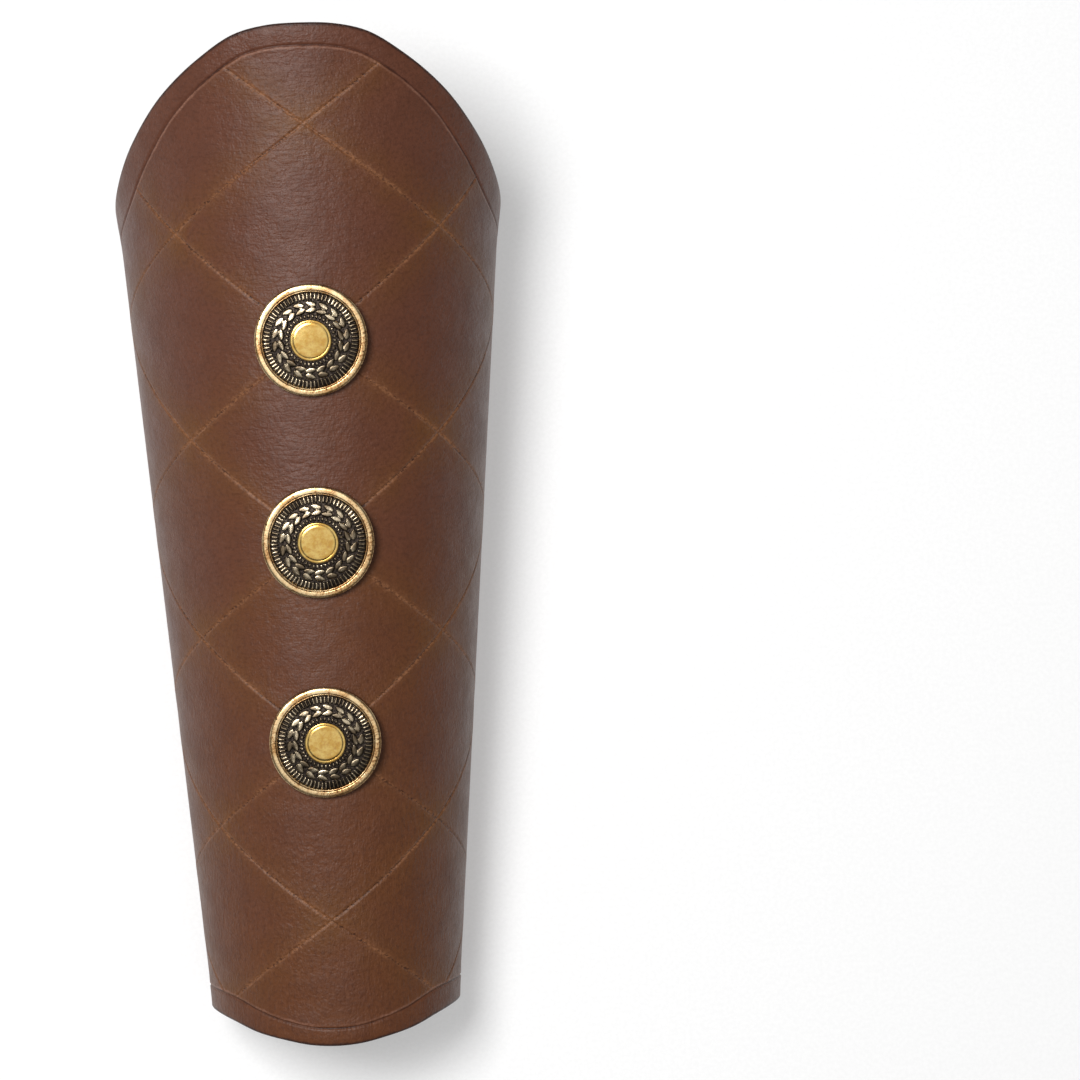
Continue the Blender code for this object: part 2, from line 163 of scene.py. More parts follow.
# Mesh sizes
LINE_STEP = 0.0016
GRID_STEP = 0.0024
GROOVE_ROWS = (-1.7, -1.0, -0.45, 0.0, 0.45, 1.0, 1.7)  # lines along a groove, in half widths
EDGE_ROWS = (0.0, 0.3, 1.0)  # lines along a cut edge, in roundings from it
HOLE_STEPS = 28
BEZEL_STEPS = 144
RIVET_STEPS = 96
MEDALLION_RINGS = 56
STEPS_PER_RIB = 10
MILLIMETRE = 0.001

# Stage
FLOOR_HALF = 3.0
FLOOR_HEIGHT = -0.0001  # just under the leather that rests on it
WORLD_STRENGTH = 0.17
LIGHTS = {
    "key": ((-0.27, 0.18, 1.15), (0, 0.02, 0.03), (0.36, 0.36), 12.8),
    "overhead": ((0.0, -0.2, 1.6), (0, 0, 0.03), (1.1, 1.3), 5.0),
    "side": ((-1.0, 0.0, 0.13), (0, 0, 0.05), (1.2, 0.22), 0.7),
}  # place, target, size and watts


# Flat pattern and cone


def section(girth):
    """Section of unit front radius at these girths: x, z and the normal's x, z."""
    side, way = np.where(girth < 0, -1.0, 1.0), np.abs(girth)
    corner_turn = FRONT_ARC + (way - FRONT_ARC) / CORNER
    turn = np.where(way <= FRONT_ARC, way, np.where(way <= FLAT_START, corner_turn, math.pi))
    nx, nz = np.sin(turn), np.cos(turn)
    shrunk = np.where(way <= FRONT_ARC, 1.0, CORNER)
    x = np.where(way <= FRONT_ARC, 0.0, (1 - CORNER) * math.sin(FRONT_ARC)) + shrunk * nx
    z = np.where(way <= FRONT_ARC, CENTRE, CORNER) + shrunk * nz
    x = x - np.maximum(way - FLAT_START, 0)
    return side * x, z, side * nx, nz


def lines_from_apex(girth):
    """Directions of the cone's straight lines at these girths, one metre long along Y."""
    x, z, _, _ = section(girth)
    return np.column_stack([TAPER * x, np.ones_like(x), TAPER * z])


def develop(steps=2000):
    """Girths, and the angles from the apex at which their lines lie once the cone is flat."""
    girths = np.linspace(0, HALF_GIRTH, steps + 1)
    lines = lines_from_apex(girths)
    lines /= np.linalg.norm(lines, axis=1, keepdims=True)
    turns = np.linalg.norm(np.diff(lines, axis=0), axis=1)
    return girths, np.concatenate([[0], np.cumsum(turns)])


GIRTHS, ANGLES = develop()


def flat_points(girth, height):
    """Where surface points at these girths and heights lie in the flat pattern, from the apex."""
    girth, height = np.broadcast_arrays(np.atleast_1d(girth).astype(float), height)
    angle = np.where(girth < 0, -1, 1) * np.interp(np.abs(girth), GIRTHS, ANGLES)
    reach = (height - APEX_Y) * np.linalg.norm(lines_from_apex(girth), axis=1)
    return np.column_stack([reach * np.sin(angle), reach * np.cos(angle)])


def girths_of(flat):
    angle = np.arctan2(flat[:, 0], flat[:, 1])
    return np.where(angle < 0, -1, 1) * np.interp(np.abs(angle), ANGLES, GIRTHS)


def wrap(flat, lift=0.0):
    """Rolls points of the flat pattern onto the cone, this far outside the outer face."""
    girth = girths_of(flat)
    x, z, nx, nz = section(girth)
    normal = np.column_stack([nx, -TAPER * (x * nx + z * nz), nz])
    normal /= np.linalg.norm(normal, axis=1, keepdims=True)
    lines = lines_from_apex(girth)
    lines /= np.linalg.norm(lines, axis=1, keepdims=True)
    reach = np.hypot(flat[:, 0], flat[:, 1])
    lift = np.broadcast_to(lift, reach.shape)
    return np.array([0, APEX_Y, 0]) + lines * reach[:, None] + normal * lift[:, None]


def smooth(rows, column, at):
    """A column of an edge table, read smoothly between its rows. It is level at the front."""
    places = np.array([row[0] for row in rows])
    values = np.array([row[column] for row in rows])
    slopes = np.gradient(values, places)
    slopes[0] = 0
    i = np.clip(np.searchsorted(places, at) - 1, 0, len(rows) - 2)
    gap = places[i + 1] - places[i]
    t = (at - places[i]) / gap
    return (
        values[i] * (1 + 2 * t) * (1 - t) ** 2
        + slopes[i] * gap * t * (1 - t) ** 2
        + values[i + 1] * t * t * (3 - 2 * t)
        + slopes[i + 1] * gap * t * t * (t - 1)
    )


def even_steps(line, step):
    """The same line with points an even step apart and its ends kept."""
    gaps = np.linalg.norm(np.diff(line, axis=0), axis=1)
    way = np.concatenate([[0], np.cumsum(gaps)])
    count = max(int(round(way[-1] / step)), 1)
    at = np.linspace(0, way[-1], count + 1)
    return np.column_stack([np.interp(at, way, line[:, 0]), np.interp(at, way, line[:, 1])])


def beside(line, offset):
    """A line moved sideways, to its left as it runs for a positive offset."""
    along = np.gradient(line, axis=0)
    along /= np.linalg.norm(along, axis=1, keepdims=True)
    return line + offset * np.column_stack([-along[:, 1], along[:, 0]])


def edge_line(rows):
    """A cut edge in the flat pattern, from one back edge round the front to the other."""
    girth = np.linspace(-HALF_GIRTH, HALF_GIRTH, 801)
    height = smooth(rows, 1, np.abs(girth) / HALF_GIRTH) * LENGTH / 2
    return flat_points(girth, height)


def border_line(rows):
    """The border groove along a cut edge, which runs inside it."""
    girth = np.linspace(-HALF_GIRTH, HALF_GIRTH, 801)
    width = BORDER_WIDTH * smooth(rows, 2, np.abs(girth) / HALF_GIRTH)
    line = edge_line(rows)
    inward = -1 if rows is ELBOW_EDGE else 1
    return line + (beside(line, inward) - line) * width[:, None]


def back_line(side, inset, low, high):
    """A straight line down one back edge, at this inset, between two cut edges or grooves."""
    girth = side * (HALF_GIRTH - inset / MIDDLE_RADIUS)
    ends = []
    for line in (low, high):
        order = np.argsort(girths_of(line))
        height = np.interp(girth, girths_of(line)[order], np.linalg.norm(line, axis=1)[order])
        ends.append(height)
    direction = flat_points(girth, 0.0)[0]
    direction /= np.linalg.norm(direction)
    return np.array([direction * reach for reach in ends])


def crossing_point(number):
    """Flat point where two diagonals cross on the front, counted from the middle crossing."""
    past_conchos = max(abs(number) - max(CONCHO_CROSSINGS.values()), 0)
    beside_conchos = abs(number) - past_conchos
    end_pitch = ELBOW_PITCH if number > 0 else WRIST_PITCH
    way = beside_conchos * DIAMOND_PITCH + past_conchos * end_pitch
    return flat_points(0.0, 0.0)[0] + np.array([0, math.copysign(way, number)])


def diagonals():
    """A point on each diagonal, and its unit direction across the line, in the flat."""
    most = math.ceil(LENGTH / DIAMOND_PITCH)
    for number in range(-most, most + 1):
        for side in (-1, 1):
            across = np.array([side * math.sin(DIAMOND_SLOPE), math.cos(DIAMOND_SLOPE)])
            yield crossing_point(number), across


def hole_places():
    """Flat centres and radii of the lacing and rivet holes."""
    girth = HALF_GIRTH - LACE_HOLE_INSET / MIDDLE_RADIUS
    places = []
    for side in (-1, 1):
        low, high = back_line(side, LACE_HOLE_INSET, edge_line(WRIST_EDGE), edge_line(ELBOW_EDGE))
        direction = flat_points(side * girth, 0.0)[0]
        direction /= np.linalg.norm(direction)
        first, last = np.linalg.norm(low) + LACE_END_MARGIN, np.linalg.norm(high) - LACE_END_MARGIN
        places += [(direction * reach, LACE_HOLE_RADIUS) for reach in np.linspace(first, last, LACE_HOLES)]
    for number in CONCHO_CROSSINGS.values():
        places.append((crossing_point(number), RIVET_SHANK_RADIUS + SEAT_GAP))
    return places


# Distances in the flat pattern


def distance_to(points, line, block=1500):
    """Distance from each point to a line of straight pieces."""
    start, step = line[:-1], np.diff(line, axis=0)
    length = np.maximum((step**2).sum(1), 1e-18)
    out = np.empty(len(points))
    for first in range(0, len(points), block):
        gap = points[first : first + block, None] - start
        share = np.clip((gap * step).sum(2) / length, 0, 1)
        gap -= share[..., None] * step
        out[first : first + block] = np.sqrt((gap**2).sum(2).min(1))
    return out


def inside(points, outline):
    """Whether each point lies inside a closed outline, by counting crossings."""
    a, b = outline, np.roll(outline, -1, axis=0)
    x, y = points[:, 0, None], points[:, 1, None]
    spans = (a[:, 1] > y) != (b[:, 1] > y)
    rise = np.where(a[:, 1] == b[:, 1], 1, b[:, 1] - a[:, 1])
    hits = spans & (x < (b[:, 0] - a[:, 0]) * (y - a[:, 1]) / rise + a[:, 0])
    return hits.sum(1) % 2 == 1


def smoothstep(low, high, value):
    t = np.clip((value - low) / (high - low), 0, 1)
    return t * t * (3 - 2 * t)


class Pattern:
    """The flat pattern's lines: its outline, its border grooves and the field inside them."""

    def __init__(self):
        self.wrist, self.elbow = edge_line(WRIST_EDGE), edge_line(ELBOW_EDGE)
        self.left, self.right = (back_line(side, 0, self.wrist, self.elbow) for side in (-1, 1))
        self.wrist_groove, self.elbow_groove = border_line(WRIST_EDGE), border_line(ELBOW_EDGE)
        self.left_groove, self.right_groove = (
            back_line(side, LACING_MARGIN, self.wrist_groove, self.elbow_groove)
            for side in (-1, 1)
        )
        self.cut = [even_steps(line, LINE_STEP) for line in self.sides(0)]
        self.grooves = [
            even_steps(line, LINE_STEP)
            for line in (self.wrist_groove, self.elbow_groove, self.left_groove, self.right_groove)
        ]
        self.outline = self.loop(self.cut)
        most = HALF_GIRTH - LACING_MARGIN / MIDDLE_RADIUS
        low = self.wrist_groove[np.abs(girths_of(self.wrist_groove)) < most]
        high = self.elbow_groove[np.abs(girths_of(self.elbow_groove)) < most]
        self.field = np.vstack([even_steps(low, LINE_STEP), even_steps(high[::-1], LINE_STEP)])
        self.diagonals = list(diagonals())
        self.holes = hole_places()

    def sides(self, offset):
        """The four cut edges, moved inwards."""
        return (
            beside(self.wrist, offset),
            beside(self.elbow, -offset),
            beside(self.left, -offset),
            beside(self.right, offset),
        )

    @staticmethod
    def loop(sides):
        wrist, elbow, left, right = sides
        return np.vstack([wrist[:-1], right[:-1], elbow[::-1][:-1], left[::-1][:-1]])

    def to_edge(self, points):
        """Distance to the nearest cut edge or hole."""
        near = np.min([distance_to(points, line) for line in self.cut], axis=0)
        for centre, radius in self.holes:
            near = np.minimum(near, np.linalg.norm(points - centre, axis=1) - radius)
        return np.maximum(near, 0)

    def to_border(self, points):
        return np.min([distance_to(points, line) for line in self.grooves], axis=0)

    def to_diagonals(self, points):
        """Distances to the nearest diagonal of each family; both are far outside the field."""
        in_field = inside(points, self.field)
        families = []
        for family in (self.diagonals[::2], self.diagonals[1::2]):
            near = np.min([np.abs((points - at) @ across) for at, across in family], axis=0)
            families.append(np.where(in_field, near, FAR))
        return families


def groove_profile(distance, depth):
    """Height of the face this far from the middle of a scored line."""
    way = distance / GROOVE_HALF_WIDTH
    cut = -depth * np.clip(1 - way, 0, 1) ** 0.8
    lip = GROOVE_LIP * np.exp(-(((way - 1.35) / 0.45) ** 2))
    return cut + lip


def diagonal_runs(pattern):
    """The stretch of each scored row of each diagonal that lies inside the field."""
    reach = np.arange(-0.26, 0.26, 0.0003)
    for at, across in pattern.diagonals:
        along = np.array([across[1], -across[0]])
        for row in GROOVE_ROWS:
            line = at + across * row * GROOVE_HALF_WIDTH + reach[:, None] * along
            within = inside(line, pattern.field)
            if within.sum() > 10:
                first, last = np.flatnonzero(within)[[0, -1]]
                yield even_steps(line[[first, last]], LINE_STEP)


def grid_points(pattern):
    """Points that fill the pattern between its lines."""
    low, high = pattern.outline.min(0), pattern.outline.max(0)
    across = np.arange(low[0], high[0], GRID_STEP)
    up = np.arange(low[1], high[1], GRID_STEP * math.sqrt(3) / 2)
    x, y = np.meshgrid(across, up)
    x = x + np.where(np.arange(len(up)) % 2, GRID_STEP / 2, 0)[:, None]
    points = np.column_stack([x.ravel(), y.ravel()])
    points = points[inside(points, pattern.outline)]
    clear = GRID_STEP * 0.45
    rows_reach = GROOVE_HALF_WIDTH * max(GROOVE_ROWS)
    keep = pattern.to_edge(points) > EDGE_ROUNDING + clear
    keep &= pattern.to_border(points) > rows_reach + clear
    keep &= np.minimum(*pattern.to_diagonals(points)) > rows_reach + clear
    return points[keep]


def pattern_mesh(pattern):
    """Triangles over the flat leather, with rows of corners along every line on it."""
    lines = []
    for row in EDGE_ROWS[1:]:
        for line in pattern.sides(row * EDGE_ROUNDING):
            line = even_steps(line, LINE_STEP)
            lines.append((line[inside(line, pattern.outline)], False))
    for row in GROOVE_ROWS:
        for line in pattern.grooves:
            line = even_steps(beside(line, row * GROOVE_HALF_WIDTH), LINE_STEP)
            lines.append((line[inside(line, pattern.outline)], False))
    lines += [(line, False) for line in diagonal_runs(pattern)]
    lines.append((pattern.outline, True))
    turn = np.linspace(0, 2 * math.pi, HOLE_STEPS, endpoint=False)
    ring = np.column_stack([np.cos(turn), np.sin(turn)])
    for centre, radius in pattern.holes:
        for row in EDGE_ROWS:
            lines.append((centre + ring * (radius + row * EDGE_ROUNDING), True))
    corners, edges = [], []
    count = 0
    for line, closed in lines:
        corners.append(line)
        ends = np.arange(count, count + len(line))
        edges += list(zip(ends[:-1], ends[1:]))
        if closed:
            edges.append((ends[-1], ends[0]))
        count += len(line)
    corners.append(grid_points(pattern))
    flat = np.vstack(corners) / MILLIMETRE
    edges = [(int(a), int(b)) for a, b in edges]
    made = delaunay_2d_cdt([Vector(point) for point in flat], edges, [], 0, 1e-4, False)
    flat = np.array([tuple(point) for point in made[0]]) * MILLIMETRE
    faces = np.array(made[2])
    middles = flat[faces].mean(1)
    keep = inside(middles, pattern.outline)
    for centre, radius in pattern.holes:
        keep &= np.linalg.norm(middles - centre, axis=1) > radius * 0.98
    return flat, faces[keep]


def cuff_lift(pattern, flat, to_edge):
    """Height of the grain side above the plain cone, with its grooves, rims and lie."""
    girth = girths_of(flat)
    to_border = pattern.to_border(flat)
    lift = groove_profile(to_border, BORDER_DEPTH)
    scored = groove_profile(np.minimum(*pattern.to_diagonals(flat)), SCORE_DEPTH)
    lift += scored * smoothstep(0, GROOVE_HALF_WIDTH, to_border)
    side_fade = np.clip((FLAT_START - np.abs(girth)) / (FLAT_START - FRONT_ARC / 2), 0, 1)
    for line, flare in zip(pattern.cut, (WRIST_FLARE, ELBOW_FLARE)):
        lift += flare * side_fade * smoothstep(1.5 * BORDER_WIDTH, 0, distance_to(flat, line))
    return lift - edge_fall(to_edge)


def edge_fall(to_edge):
    """How far a face falls away as it rounds over to the cut edge."""
    short = np.clip(1 - to_edge / EDGE_ROUNDING, 0, 1)
    return EDGE_ROUNDING * (1 - np.sqrt(1 - short**2))


# Materials


class Nodes:
    """Short ways to wire a material's nodes."""

    def __init__(self, name):
        self.material = bpy.data.materials.new(name)
        self.material.use_nodes = True
        self.tree = self.material.node_tree
        self.shader = self.tree.nodes["Principled BSDF"]

    def node(self, kind, **settings):
        made = self.tree.nodes.new(kind)
        for key, value in settings.items():
            setattr(made, key, value)
        return made

    def feed(self, socket, value):
        if hasattr(value, "is_output"):
            self.tree.links.new(value, socket)
        else:
            socket.default_value = value

    def attribute(self, name):
        return self.node("ShaderNodeAttribute", attribute_name=name).outputs["Fac"]

    def flat(self):
        return self.node("ShaderNodeUVMap", uv_map="flat").outputs["UV"]

    def part(self, vector, axis):
        made = self.node("ShaderNodeSeparateXYZ")
        self.feed(made.inputs[0], vector)
        return made.outputs[axis]

    def object_place(self):
        return self.node("ShaderNodeTexCoord").outputs["Object"]

    def scaled(self, vector, scale):
        made = self.node("ShaderNodeMapping")
        self.feed(made.inputs["Vector"], vector)
        made.inputs["Scale"].default_value = scale
        return made.outputs["Vector"]

    def noise(self, vector, scale, detail=4.0, roughness=0.55, distortion=0.0):
        made = self.node("ShaderNodeTexNoise")
        self.feed(made.inputs["Vector"], vector)
        made.inputs["Scale"].default_value = scale
        made.inputs["Detail"].default_value = detail
        made.inputs["Roughness"].default_value = roughness
        made.inputs["Distortion"].default_value = distortion
        return made.outputs["Fac"]

    def cells(self, vector, scale, feature="F1"):
        made = self.node("ShaderNodeTexVoronoi", feature=feature)
        self.feed(made.inputs["Vector"], vector)
        made.inputs["Scale"].default_value = scale
        return made.outputs["Distance"]

    def math(self, operation, a, b=0.0):
        made = self.node("ShaderNodeMath", operation=operation)
        self.feed(made.inputs[0], a)
        self.feed(made.inputs[1], b)
        return made.outputs[0]

    def ramp(self, value, low, high, start=0.0, end=1.0):
        """The value's stretch from low to high, turned into start to end."""
        made = self.node("ShaderNodeMapRange", interpolation_type="SMOOTHSTEP")
        self.feed(made.inputs["Value"], value)
        made.inputs["From Min"].default_value = low
        made.inputs["From Max"].default_value = high
        made.inputs["To Min"].default_value = start
        made.inputs["To Max"].default_value = end
        return made.outputs["Result"]

    def mix(self, share, a, b):
        made = self.node("ShaderNodeMix", data_type="RGBA")
        self.feed(made.inputs["Factor"], share)
        for socket, value in zip(made.inputs[6:8], (a, b)):
            self.feed(socket, (*value, 1) if isinstance(value, tuple) else value)
        return made.outputs[2]

    def bump(self, height, distance, strength, normal=None):
        made = self.node("ShaderNodeBump")
        made.inputs["Strength"].default_value = strength
        made.inputs["Distance"].default_value = distance
        self.feed(made.inputs["Height"], height)
        if normal:
            self.feed(made.inputs["Normal"], normal)
        return made.outputs["Normal"]

    def finish(self, colour, roughness, normal=None, **plain):
        self.feed(self.shader.inputs["Base Color"], colour)
        self.feed(self.shader.inputs["Roughness"], roughness)
        if normal:
            self.feed(self.shader.inputs["Normal"], normal)
        for name, value in plain.items():
            self.shader.inputs[name.replace("_", " ")].default_value = value
        return self.material


def shade(red, green, blue):
    """A colour given as it shows on screen, from 0 to 255, as the shader's linear light."""
    parts = [value / 255 for value in (red, green, blue)]
    return tuple(p / 12.92 if p <= 0.04045 else ((p + 0.055) / 1.055) ** 2.4 for p in parts)


def grain_leather():
    """Oiled brown leather. Distances to the lines and edges are in millimetres."""
    n = Nodes("oiled_brown_leather")
    flat = n.flat()
    up = n.part(flat, "Y")
    broad = n.noise(flat, 24, detail=3, roughness=0.5)
    mottle = n.noise(flat, 110, detail=4, roughness=0.6)
    fine = n.noise(flat, 900, detail=5, roughness=0.7)
    crawl = n.noise(n.scaled(flat, (0.25, 1.0, 1.0)), 1100, detail=4, distortion=0.6)
    streaks = n.noise(n.scaled(flat, (1.0, 0.26, 1.0)), 1100, detail=4, distortion=1.0)

    warmth = n.ramp(n.math("ADD", broad, n.math("MULTIPLY", up, -2.2)), 0.30, 0.80)
    body = n.mix(warmth, shade(92, 55, 40), shade(95, 56, 33))
    body = n.mix(n.ramp(mottle, 0.35, 0.7, 0.0, 0.35), body, shade(76, 43, 29))

    rising, falling = n.attribute("to_rising"), n.attribute("to_falling")
    near = n.math("ADD", n.ramp(rising, 12.0, 0.0), n.ramp(falling, 12.0, 0.0))
    haze = n.math("MULTIPLY", near, n.ramp(mottle, 0.3, 0.62, 0.15, 0.5))
    body = n.mix(haze, body, shade(98, 60, 28))

    body = n.mix(n.ramp(fine, 0.42, 0.70, 0.0, 0.42), body, shade(58, 31, 21))
    lower = n.ramp(up, 0.02, -0.09)
    dark_streaks = n.math("MULTIPLY", n.ramp(streaks, 0.54, 0.72, 0.0, 0.3), lower)
    body = n.mix(dark_streaks, body, shade(66, 36, 24))
    pale_streaks = n.math("MULTIPLY", n.ramp(streaks, 0.42, 0.30, 0.0, 0.22), lower)
    body = n.mix(pale_streaks, body, shade(120, 78, 54))

    wander = n.ramp(n.noise(flat, 420, detail=3), 0.3, 0.7, -0.25, 0.25)
    to_line = n.math("ADD", n.math("MINIMUM", rising, falling), wander)
    scratchy = n.noise(n.scaled(flat, (0.7, 1.0, 1.0)), 1500, detail=5, roughness=0.75)
    patchy = n.noise(flat, 55, detail=3)
    strength = n.ramp(patchy, 0.35, 0.62, 0.35, 1.0)
    rubbed = n.math("MULTIPLY", n.ramp(to_line, 2.4, 0.2), n.ramp(scratchy, 0.45, 0.66, 0.06, 0.62))
    body = n.mix(n.math("MULTIPLY", rubbed, strength), body, shade(126, 84, 56))
    scored = n.math("MULTIPLY", n.ramp(to_line, 0.8, 0.12), n.ramp(scratchy, 0.38, 0.60, 0.15, 0.8))
    body = n.mix(n.math("MULTIPLY", scored, strength), body, shade(134, 90, 60))
    dots = n.math("MULTIPLY", n.ramp(to_line, 0.6, 0.15), n.ramp(scratchy, 0.52, 0.42))
    dots = n.math("MULTIPLY", dots, n.ramp(patchy, 0.64, 0.42, 0.3, 0.85))
    body = n.mix(dots, body, shade(46, 24, 16))

    border = n.math("ADD", n.attribute("to_border"), n.math("MULTIPLY", wander, 0.5))
    cut = n.math("MULTIPLY", n.ramp(border, 0.35, 0.05), n.ramp(patchy, 0.35, 0.6, 0.8, 0.2))
    body = n.mix(cut, body, shade(46, 24, 18))
    lip = n.math("MULTIPLY", n.ramp(border, 0.2, 0.5), n.ramp(border, 1.2, 0.6))
    lip = n.math("MULTIPLY", lip, n.ramp(scratchy, 0.35, 0.6, 0.2, 0.8))
    lip = n.math("MULTIPLY", lip, n.ramp(n.attribute("to_band"), 0.9, 0.1))
    body = n.mix(n.math("MULTIPLY", lip, strength), body, shade(140, 100, 82))

    to_edge = n.math("ADD", n.attribute("to_edge"), n.math("MULTIPLY", wander, 0.6))
    body = n.mix(n.ramp(to_edge, 1.1, 0.35), body, shade(48, 28, 22))
    nicks = n.math("MULTIPLY", n.ramp(to_edge, 0.8, 0.2), n.ramp(scratchy, 0.58, 0.68))
    body = n.mix(nicks, body, shade(138, 98, 72))

    roughness = n.ramp(mottle, 0.3, 0.7, 0.37, 0.45)
    pores = n.cells(n.scaled(flat, (1.0, 0.75, 1.0)), 1300)
    normal = n.bump(n.ramp(mottle, 0.2, 0.8), 0.0005, 0.5)
    wrinkles = n.math("MULTIPLY", crawl, n.ramp(up, -0.08, 0.02))
    wrinkles = n.math("ADD", wrinkles, n.math("MULTIPLY", streaks, n.ramp(up, 0.02, -0.08)))
    normal = n.bump(wrinkles, 0.00028, 0.7, normal)
    normal = n.bump(n.ramp(pores, 0.0, 0.6), 0.00005, 0.8, normal)
    normal = n.bump(fine, 0.00018, 0.7, normal)
    return n.finish(body, roughness, normal, Specular_IOR_Level=0.22)


def flesh_leather():
    n = Nodes("suede_flesh_side")
    flat = n.flat()
    broad = n.noise(flat, 40, detail=4)
    fibres = n.noise(n.scaled(flat, (1.0, 0.5, 1.0)), 1300, detail=6, roughness=0.75, distortion=1.2)
    colour = n.mix(n.ramp(broad, 0.35, 0.65), shade(124, 88, 62), shade(104, 72, 50))
    colour = n.mix(n.ramp(fibres, 0.35, 0.7), shade(84, 56, 38), colour)
    colour = n.mix(n.ramp(n.attribute("to_edge"), 1.4, 0.3), colour, shade(58, 34, 26))
    normal = n.bump(fibres, 0.0003, 0.7)
    return n.finish(colour, 0.93, normal, Sheen_Weight=0.25, Sheen_Roughness=0.5)


def cut_edge():
    n = Nodes("burnished_edge")
    place = n.object_place()
    layers = n.noise(n.scaled(place, (1.0, 1.0, 4.0)), 700, detail=4, roughness=0.7)
    blotches = n.noise(place, 90, detail=3)
    colour = n.mix(n.ramp(layers, 0.35, 0.7), shade(44, 26, 20), shade(82, 52, 38))
    colour = n.mix(n.ramp(blotches, 0.5, 0.7, 0.0, 0.4), colour, shade(104, 70, 50))
    return n.finish(colour, n.ramp(layers, 0.3, 0.7, 0.38, 0.6), n.bump(layers, 0.0001, 0.6))


def antique_brass():
    n = Nodes("antique_brass")
    place = n.object_place()
    cloud = n.noise(place, 200, detail=5, roughness=0.65)
    fine = n.noise(place, 1500, detail=4, roughness=0.7)
    pits = n.cells(place, 620)
    colour = n.mix(n.ramp(cloud, 0.36, 0.66), shade(212, 188, 146), shade(184, 146, 98))
    worn = n.math("MULTIPLY", n.ramp(fine, 0.45, 0.60), n.ramp(cloud, 0.38, 0.56, 0.2, 0.9))
    colour = n.mix(worn, colour, shade(120, 82, 48))
    dull = n.math("MULTIPLY", n.ramp(pits, 0.24, 0.11), n.ramp(cloud, 0.43, 0.53))
    # Tarnish in pits and patina in the valley, together with painted contact shadow at the bezel's foot,
    # darken the brass and make it rougher.
    tarnish_and_contact_shade = n.math("MAXIMUM", dull, n.attribute("patina_and_contact_shade"))
    colour = n.mix(tarnish_and_contact_shade, colour, shade(48, 30, 19))
    roughness = n.math("ADD", n.ramp(fine, 0.3, 0.7, 0.20, 0.34), n.math("MULTIPLY", tarnish_and_contact_shade, 0.3))
    return n.finish(colour, roughness, n.bump(fine, 0.00005, 0.5), Metallic=1.0)


def blackened_relief():
    n = Nodes("blackened_relief")
    place = n.object_place()
    cloud = n.noise(place, 260, detail=3)
    fine = n.noise(place, 2200, detail=4, roughness=0.7)
    raised = n.math("ADD", n.attribute("raised"), n.ramp(fine, 0.3, 0.7, -0.22, 0.22))
    rubbed = n.math("MULTIPLY", n.ramp(raised, 0.12, 0.42), n.ramp(cloud, 0.42, 0.56, 1.0, 0.55))
    bright = n.mix(n.ramp(cloud, 0.38, 0.62), shade(172, 158, 134), shade(112, 97, 76))
    dark = n.mix(n.ramp(fine, 0.4, 0.65), shade(28, 24, 22), shade(60, 52, 46))
    colour = n.mix(rubbed, dark, bright)
    roughness = n.ramp(rubbed, 0.0, 1.0, 0.42, 0.22)
    return n.finish(colour, roughness, n.bump(fine, 0.00006, 0.7), Metallic=1.0)


def gilt_cap():
    n = Nodes("worn_gilt_brass")
    place = n.object_place()
    cloud = n.noise(place, 280, detail=6, roughness=0.65)
    fine = n.noise(place, 1600, detail=5, roughness=0.7)
    colour = n.mix(n.ramp(cloud, 0.38, 0.62), shade(192, 164, 98), shade(172, 134, 66))
    colour = n.mix(n.ramp(fine, 0.46, 0.68, 0.0, 0.45), colour, shade(148, 104, 62))
    # Patina in the scored ring round the cap's face, and painted shade with patina at the cap's foot where
    # it meets the relief.
    colour = n.mix(n.attribute("patina_and_contact_shade"), colour, shade(74, 48, 26))
    roughness = n.ramp(fine, 0.3, 0.7, 0.15, 0.21)
    return n.finish(colour, roughness, n.bump(cloud, 0.00005, 0.6), Metallic=1.0)


def pale_floor():
    n = Nodes("pale_floor")
    grain = n.noise(n.object_place(), 900, detail=3)
    colour = n.mix(n.ramp(grain, 0.3, 0.7), (0.60, 0.60, 0.60), (0.63, 0.63, 0.63))
    glow = {"Emission_Color": (1.0, 1.0, 1.0, 1.0), "Emission_Strength": 0.33}
    return n.finish(colour, 0.75, Specular_IOR_Level=0.2, **glow)


# Pieces


def add_piece(name, corners, faces, materials, attributes=None):
    """A smooth piece of the object, with a value at each corner for each attribute."""
    mesh = bpy.data.meshes.new(name)
    mesh.from_pydata(corners, [], faces)
    for material in materials:
        mesh.materials.append(material)
    for key, values in (attributes or {}).items():
        layer = mesh.attributes.new(key, "FLOAT", "POINT")
        layer.data.foreach_set("value", np.asarray(values, dtype=np.float32))
    mesh.shade_smooth()
    made = bpy.data.objects.new(name, mesh)
    bpy.context.scene.collection.objects.link(made)
    return made


def rim_edges(faces):
    """The directed edges that only one triangle uses."""
    edges = np.vstack([faces[:, [0, 1]], faces[:, [1, 2]], faces[:, [2, 0]]])
    size = edges.max() + 1
    forward, backward = edges[:, 0] * size + edges[:, 1], edges[:, 1] * size + edges[:, 0]
    return edges[~np.isin(forward, backward)]


